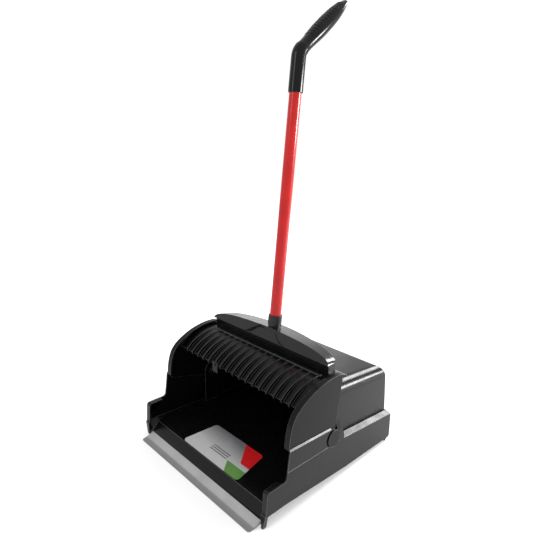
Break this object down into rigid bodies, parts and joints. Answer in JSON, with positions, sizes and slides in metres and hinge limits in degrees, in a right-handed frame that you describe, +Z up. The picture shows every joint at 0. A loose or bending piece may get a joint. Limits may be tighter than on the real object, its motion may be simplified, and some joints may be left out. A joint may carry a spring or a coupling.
{
  "type": "lobby dust pan",
  "caption": "Long-handled upright dust pan with a swinging ribbed hood, rubber front lip, red tube handle and bent ridged hand grip.",
  "frame": {"origin": "on the floor, in the middle of the whole set's length and width", "axes": "+X to the right seen from behind the handle, +Y from the open mouth towards the back, +Z up"},
  "size_m": [0.4068, 0.4502, 0.946],
  "materials": {
    "black_plastic": "satin moulded black polypropylene",
    "satin_black_plastic": "semi-gloss moulded black polypropylene",
    "grip_plastic": "glossy black moulding",
    "grey_rubber": "mid-grey flexible rubber",
    "label_film": "white adhesive film with plain colour fields and no text",
    "red_paint": "glossy red coating on steel tube",
    "zinc_steel": "zinc-plated"
  },
  "bodies": {
    "pan": {"pan_body": "black_plastic", "rubber_lip": "grey_rubber", "floor_label": "label_film", "pivot_pin_right": "black_plastic", "pivot_pin_left": "black_plastic"},
    "hood_and_handle": {"hood": "satin_black_plastic", "handle_bridge": "satin_black_plastic", "bridge_screws": "zinc_steel", "handle_collar": "black_plastic", "handle_insert": "black_plastic", "handle_tube": "red_paint", "hand_grip": "grip_plastic"}
  },
  "joints": [
    {"name": "hood_swing", "type": "hinge", "parent": "pan", "child": "hood_and_handle", "pos_m": [0, -0.01614, 0.1], "axis": [1, 0, 0], "range_deg": [0, 45]}
  ]
}
